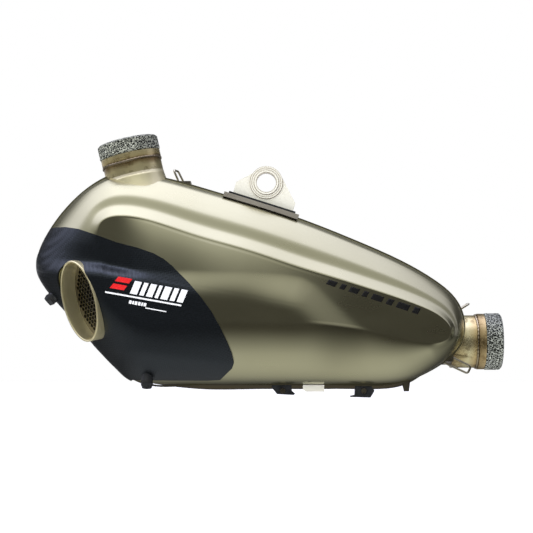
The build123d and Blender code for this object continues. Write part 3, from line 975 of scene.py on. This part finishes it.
def drape(name, shapes, surface, material):
    """Flat marks, each a list of (X, Z) corners, laid on an outside surface."""
    tree = BVHTree.FromObject(surface, bpy.context.evaluated_depsgraph_get())
    bm = bmesh.new()
    for corners in shapes:
        verts = [bm.verts.new((x * MM, -0.2, z * MM)) for x, z in corners]
        bm.faces.new(verts)
    bmesh.ops.triangulate(bm, faces=bm.faces)
    for _ in range(6):
        long_edges = [e for e in bm.edges if e.calc_length() > MARK_GRID * MM]
        if not long_edges:
            break
        bmesh.ops.subdivide_edges(bm, edges=long_edges, cuts=1)
        bmesh.ops.triangulate(bm, faces=[f for f in bm.faces if len(f.verts) > 3])
    for vert in bm.verts:
        hit, normal, _, _ = tree.ray_cast(vert.co, Vector((0, 1, 0)))
        if hit is not None:
            vert.co = hit + normal * MARK_LIFT * MM
    mesh = bpy.data.meshes.new(name)
    bm.to_mesh(mesh)
    bm.free()
    obj = bpy.data.objects.new(name, mesh)
    bpy.context.scene.collection.objects.link(obj)
    thick = obj.modifiers.new("thick", "SOLIDIFY")
    thick.thickness = MARK_THICK * MM
    thick.offset = 0
    mesh.shade_smooth()
    dress(obj, material)
    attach(obj, "silencer")


def slanted_bar(x, z, width, height, slant, drop):
    """Parallelogram standing on a line that drops drop per millimetre to the right."""
    return [(x, z), (x + width, z - width * drop), (x + width + slant, z - width * drop + height),
            (x + slant, z + height)]


def bar_row(x, z, widths, gap, height, slant, drop, growth=0.0):
    """Slanted bars along a falling line; growth is the extra height 100 mm on."""
    bars = []
    start = x
    for width in widths:
        tall = height + growth * (x - start) / 100
        bars.append(slanted_bar(x, z - (x - start) * drop, width, tall, slant, drop))
        x += width + gap
    return bars


def cover_marks():
    """Plain white and red stripes on the cover."""
    drop = 0.178
    white = bar_row(-136.0, -117.5, (7.0, 4.4, 6.2, 3.4, 7.0, 4.8, 6.2), 2.3, 12.5, 5.2, drop)
    white.append([(-160.5, -115.2), (-84.5, -128.8), (-84.5, -130.4), (-160.5, -116.8)])
    white += bar_row(-137.0, -127.6, (2.6, 1.6, 2.6, 2.6, 1.6, 2.6), 0.7, 3.4, 0.8, drop)
    white.append([(-120.5, -131.4), (-99.5, -135.2), (-99.5, -136.2), (-120.5, -132.4)])
    red = [slanted_bar(-156.0, -112.0, 14.0, 4.6, 3.6, drop),
           slanted_bar(-151.0, -105.2, 14.0, 4.6, 3.6, drop)]
    return white, red


def shell_marks():
    """A row of plain slanted bars on the body."""
    widths = (9.0, 5.0, 9.0, 5.0, 11.0, 6.0, 12.0, 6.0)
    return bar_row(60.0, -107.5, widths, 4.2, 4.6, 3.4, 0.33, growth=1.4)


# ---------------------------------------------------------------- build everything
shell_metal = titanium_shell()
plate_metal = titanium_plate().material
eye_metal = turned_plate()
outlet_metal = titanium_outlet()
weave = carbon()
bead_metal = weld_metal()
hook_metal = wire_metal()
coating = black_paint()
rubber = black_rubber()
honeycomb = grille_metal()
plain_steel = inner_steel()
wool = mineral_wool()

rear_tint = heated_titanium("rear_inlet_tint", REAR, [
    (0, (1.0, 1.0, 0.98)), (15, (0.95, 0.90, 0.78)), (20, (0.40, 0.31, 0.22)),
    (23, (0.30, 0.22, 0.16)), (25.5, (0.90, 0.80, 0.62)), (34, (1.0, 0.98, 0.94))])
front_tint = heated_titanium("front_inlet_tint", FRONT, [
    (46, (0.34, 0.28, 0.22)), (53, (0.80, 0.72, 0.58)), (60, (1.0, 0.98, 0.92)),
    (68, (0.78, 0.66, 0.50)), (72, (0.48, 0.38, 0.28)), (79, (0.72, 0.60, 0.48))])

outer = make_outer_shell(shell_metal)
make_inner_shell(titanium_inner())
cover = make_cover(weave)
make_outlet_pipe(outlet_metal)
smooth_body = body_solid()
make_partition("rear_partition", -66.0, smooth_body, plain_steel)
make_partition("front_partition", 70.0, smooth_body, plain_steel)
bpy.data.objects.remove(smooth_body)
make_ring("rear_knitted_ring", "rear_sealing_ring", "rear_ring", REAR, outer=32.0, inner=27.5,
          start=30.5, length=15.5, material=knitted_wire("rear_knit", (0.68, 0.70, 0.59)))
make_ring("front_knitted_ring", "front_sealing_ring", "front_ring", FRONT, outer=30.0, inner=25.5,
          start=79.0, length=18.0, material=knitted_wire("front_knit", (0.66, 0.69, 0.60)))
make_flare(flare_metal())
make_weld("rear_bead", "rear_inlet_weld", REAR, REAR_PIPE_R, at=22.2, material=bead_metal,
          ripples=46, seed=3)
make_weld("front_bead", "front_inlet_weld", FRONT, FRONT_PIPE_R, at=70.7, material=bead_metal,
          ripples=42, seed=5)

white_marks, red_marks = cover_marks()
drape("cover_stripes", white_marks, cover, ink("white_ink", (0.80, 0.81, 0.82)))
drape("cover_flash", red_marks, cover, ink("red_ink", (0.62, 0.010, 0.012)))
drape("body_bars", shell_marks(), outer, ink("dark_ink", (0.005, 0.005, 0.005)))

CARRIED = {
    "seam_weld": shell_metal,
    "cover_bolts": coating, "cover_grommets": rubber, "cover_bosses": coating,
    "outlet_grille": honeycomb,
    "rear_inlet_pipe": rear_tint, "rear_inlet_collar": rear_tint,
    "front_inlet_pipe": front_tint, "front_inlet_collar": front_tint,
    "hanger_plate": eye_metal, "hanger_eye_rings": eye_metal, "hanger_bush": eye_metal,
    "hanger_doubler": coating, "hanger_saddle": saddle_metal(),
    "rear_outer_hook": hook_metal, "rear_inner_hook": hook_metal, "front_upper_hook": hook_metal,
    "front_lower_hook": hook_metal, "hook_tabs": hook_metal,
    "front_lower_clip": coating, "rear_lower_clip": coating, "clip_rivets": hook_metal,
    "lower_strap": plate_metal, "lower_hook_plate": hook_metal,
    "front_core_tube": plain_steel, "rear_core_tube": plain_steel, "link_tube": plain_steel,
    "wool_sleeve": wool,
}
for node, material in CARRIED.items():
    dress(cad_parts[node], material)
for node in ("hanger_plate", "hanger_eye_rings", "hanger_bush", "hanger_doubler", "hanger_saddle",
             "cover_bolts", "front_lower_clip", "rear_lower_clip", "hook_tabs"):
    bevel(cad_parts[node], 0.4)


# ---------------------------------------------------------------- stage, light and camera
FLOOR_Z = -0.60


def make_stage():
    """Pale floor, well below the object."""
    n = Nodes("pale_stage")
    n.colour(n.ramp(n.noise(2, 2), [(0.3, (0.92, 0.92, 0.86)), (0.7, (0.94, 0.94, 0.88))]))
    n.set(roughness=0.9)
    n.shader.inputs["Specular IOR Level"].default_value = 0.1
    half = 14.0
    points = [(x, y, FLOOR_Z) for y in (-half, half) for x in (-half, half)]
    floor = new_object("floor", points, [(0, 1, 3, 2)])
    n.shader.inputs["Emission Color"].default_value = (1, 1, 0.97, 1)
    n.shader.inputs["Emission Strength"].default_value = 0.36
    dress(floor, n.material)
    floor.visible_glossy = False


# Brightness of the studio round the object's long axis. Angles are in degrees, from the
# wall behind (0) over the top (90) to the camera's side (180), and below the horizon.
STUDIO_RING = [
    (-180, 0.035), (-168, 0.04), (-147, 0.30), (-124, 0.58), (-92, 0.62), (-64, 0.46),
    (-46, 0.24), (-30, 0.08), (-14, 0.08), (-2, 0.90), (5, 0.50), (12, 0.14), (46, 0.16),
    (55, 1.2), (66, 1.95), (110, 1.95), (121, 0.86), (140, 0.66), (152, 0.54), (162, 0.28),
    (170, 0.07), (180, 0.035),
]
# How that brightness changes along the object, from left (-1) to right (1).
STUDIO_LENGTH = [
    (-1.0, 0.50), (-0.6, 0.75), (-0.2, 1.04), (0.15, 1.0), (0.35, 0.72), (0.50, 0.47),
    (0.75, 0.30), (1.0, 0.24),
]
BACKDROP = (1.0, 1.0, 1.0)  # what the camera sees behind the object
STUDIO_SCALE = 2.0          # a colour ramp only holds values up to 1


def studio_stops(table):
    """Colour ramp stops of a brightness table: bright parts are cool and dark ones warm."""
    stops = []
    for angle, grey in table:
        cool = 1 + 0.30 * min(1, max(0, grey - 0.6))
        warm = 0.80 if grey < 0.05 and abs(angle) > 90 else 1
        tint = (grey, grey * (1 + warm) / 2, grey * cool * warm)
        stops.append((angle / 360 + 0.5, tuple(value / STUDIO_SCALE for value in tint)))
    return stops


def make_world():
    """Plain studio surroundings: white to the camera, graded in reflections."""
    world = bpy.data.worlds.new("studio")
    bpy.context.scene.world = world
    world.use_nodes = True
    g = Graph(world.node_tree)
    g.tree.nodes.clear()
    split = g.split(g.add("ShaderNodeTexCoord").outputs["Generated"])
    angle = g.math("ARCTAN2", split["Z"], split["Y"])
    share = g.math("MULTIPLY_ADD", angle, 0.5 / math.pi, 0.5)
    ring = g.ramp(share, studio_stops(STUDIO_RING))
    across = g.math("MULTIPLY_ADD", split["X"], 0.5, 0.5)
    length = g.grey_ramp(across, [(at / 2 + 0.5, grey / STUDIO_SCALE) for at, grey in STUDIO_LENGTH])
    ring = g.mix(1.0, ring, length, "MULTIPLY")
    graded = g.add("ShaderNodeBackground")
    graded.inputs["Strength"].default_value = STUDIO_SCALE ** 2
    g.link(ring, graded.inputs["Color"])
    plain = g.add("ShaderNodeBackground")
    plain.inputs["Color"].default_value = (*BACKDROP, 1)
    choose = g.add("ShaderNodeMixShader")
    g.link(g.add("ShaderNodeLightPath").outputs["Is Camera Ray"], choose.inputs["Fac"])
    g.link(graded.outputs[0], choose.inputs[1])
    g.link(plain.outputs[0], choose.inputs[2])
    g.link(choose.outputs[0], g.add("ShaderNodeOutputWorld").inputs["Surface"])


FILL_AT, FILL_AIM = Vector((-0.7, -1.7, 0.5)), Vector((0, 0, -0.1))
FILL_SIZE = (1.4, 1.0)
FILL_POWER = 22
FILL_COLOUR = (0.98, 1.0, 0.92)


def make_fill_light():
    """Soft light from the front that lifts the matt pieces and isn't seen in the metal."""
    data = bpy.data.lights.new("front_fill", "AREA")
    data.shape = "RECTANGLE"
    data.size, data.size_y = FILL_SIZE
    data.energy = FILL_POWER
    data.color = FILL_COLOUR
    light = bpy.data.objects.new("front_fill", data)
    light.location = FILL_AT
    light.rotation_euler = (FILL_AIM - FILL_AT).to_track_quat("-Z", "Y").to_euler()
    light.visible_camera = False
    light.visible_glossy = False
    bpy.context.scene.collection.objects.link(light)


CAMERA_DISTANCE = 1.5
CAMERA_RISE = math.radians(3)       # the camera looks up by this much
CAMERA_AIM = (0.0002, 0.0, -0.0874)
PICTURE_WIDTH = 0.5543              # metres across the picture at the aim point
SENSOR = 36.0


def make_camera():
    data = bpy.data.cameras.new("camera")
    data.sensor_width = SENSOR
    data.lens = SENSOR * CAMERA_DISTANCE / PICTURE_WIDTH
    data.clip_start = 0.05
    camera = bpy.data.objects.new("camera", data)
    forward = Vector((0, math.cos(CAMERA_RISE), math.sin(CAMERA_RISE)))
    camera.location = Vector(CAMERA_AIM) - forward * CAMERA_DISTANCE
    camera.rotation_euler = (math.pi / 2 + CAMERA_RISE, 0, 0)
    bpy.context.scene.collection.objects.link(camera)
    bpy.context.scene.camera = camera


make_stage()
make_world()
make_fill_light()
make_camera()
bpy.context.scene.view_settings.view_transform = "Standard"
